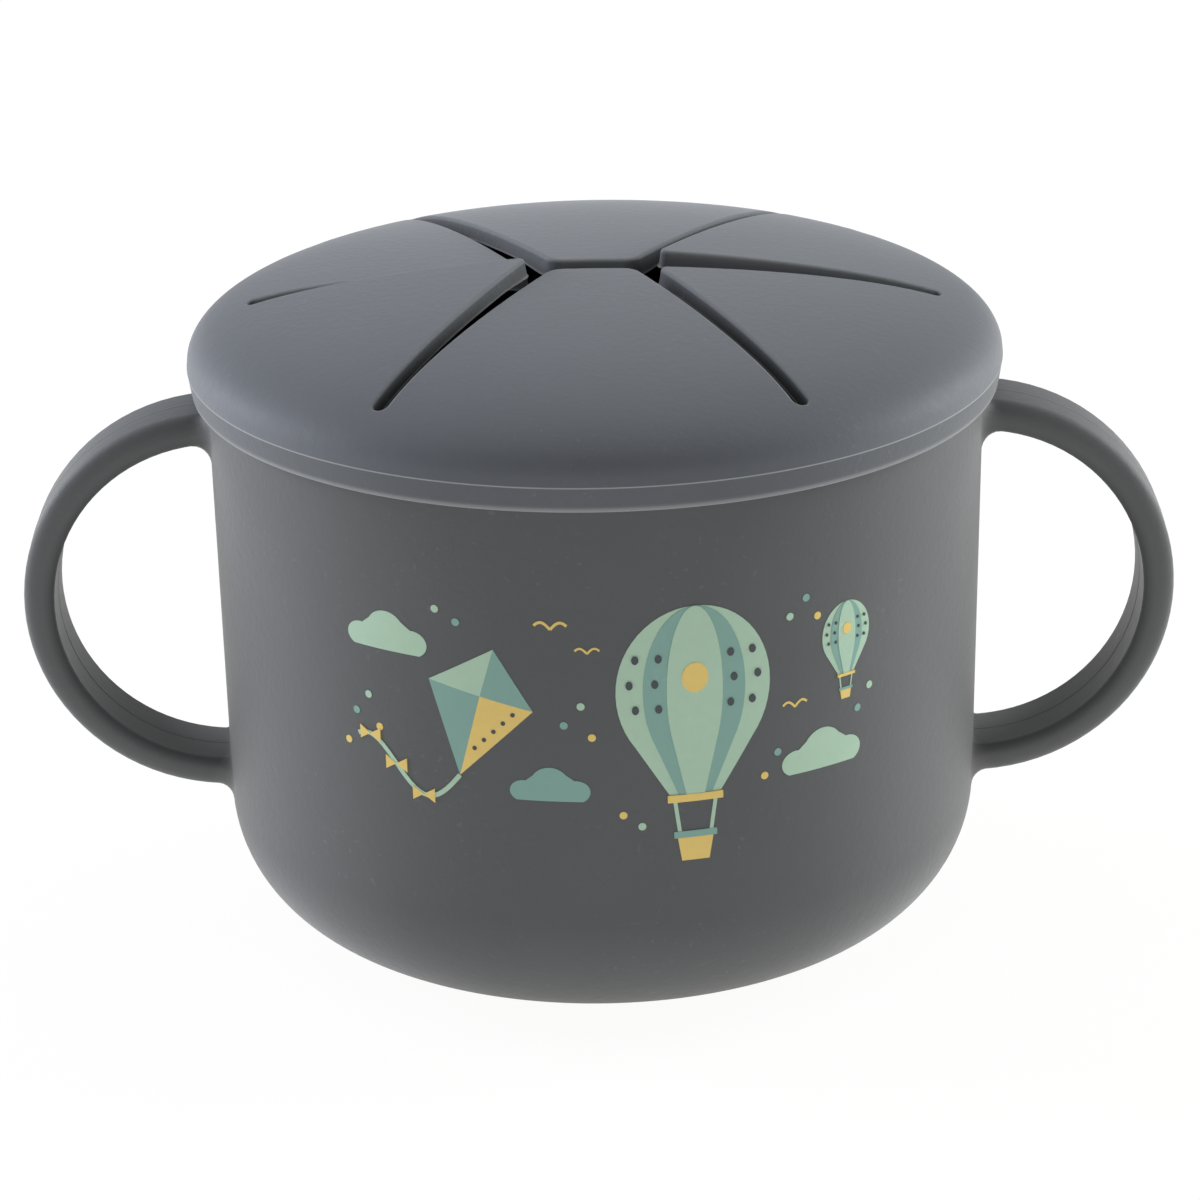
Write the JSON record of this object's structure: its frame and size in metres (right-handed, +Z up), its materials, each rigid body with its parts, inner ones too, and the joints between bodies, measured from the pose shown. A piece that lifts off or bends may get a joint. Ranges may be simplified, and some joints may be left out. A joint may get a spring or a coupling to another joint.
{
  "type": "toddler snack container",
  "caption": "Round silicone snack cup with two loop handles and a domed push-on lid whose slit petals bend in for a small hand and spring back.",
  "frame": {"origin": "centre of the foot, on the surface that the cup stands on", "axes": "+X towards the right handle, +Y towards the back, +Z up"},
  "size_m": [0.1488, 0.104, 0.0867],
  "materials": {
    "silicone_cup": "matte, blue-grey",
    "silicone_lid": "satin, blue-grey"
  },
  "bodies": {
    "cup": {"cup_bowl": "silicone_cup", "handle_left": "silicone_cup", "handle_right": "silicone_cup"},
    "lid": {"lid_ring": "silicone_lid"},
    "petal_back_right": {"petal_back_right": "silicone_lid"},
    "petal_back": {"petal_back": "silicone_lid"},
    "petal_back_left": {"petal_back_left": "silicone_lid"},
    "petal_front_left": {"petal_front_left": "silicone_lid"},
    "petal_front": {"petal_front": "silicone_lid"},
    "petal_front_right": {"petal_front_right": "silicone_lid"}
  },
  "joints": [
    {"name": "lid_lift", "type": "slide", "parent": "cup", "child": "lid", "axis": [0, 0, 1], "range_m": [0, 0.06]},
    {"name": "petal_back_right_flex", "type": "hinge", "parent": "lid", "child": "petal_back_right", "pos_m": [0.03419, 0.01951, 0.08146], "axis": [-0.4494, 0.8933, 0], "range_deg": [-55, 35], "stiffness_Nm_per_rad": 0.05},
    {"name": "petal_back_flex", "type": "hinge", "parent": "lid", "child": "petal_back", "pos_m": [0, 0.03901, 0.08131], "axis": [-1, 0, 0], "range_deg": [-55, 35], "stiffness_Nm_per_rad": 0.05},
    {"name": "petal_back_left_flex", "type": "hinge", "parent": "lid", "child": "petal_back_left", "pos_m": [-0.03419, 0.01951, 0.08146], "axis": [-0.4494, -0.8933, 0], "range_deg": [-55, 35], "stiffness_Nm_per_rad": 0.05},
    {"name": "petal_front_left_flex", "type": "hinge", "parent": "lid", "child": "petal_front_left", "pos_m": [-0.03419, -0.01951, 0.08146], "axis": [0.4494, -0.8933, 0], "range_deg": [-55, 35], "stiffness_Nm_per_rad": 0.05},
    {"name": "petal_front_flex", "type": "hinge", "parent": "lid", "child": "petal_front", "pos_m": [0, -0.03901, 0.08131], "axis": [1, 0, 0], "range_deg": [-55, 35], "stiffness_Nm_per_rad": 0.05},
    {"name": "petal_front_right_flex", "type": "hinge", "parent": "lid", "child": "petal_front_right", "pos_m": [0.03419, -0.01951, 0.08146], "axis": [0.4494, 0.8933, 0], "range_deg": [-55, 35], "stiffness_Nm_per_rad": 0.05}
  ]
}
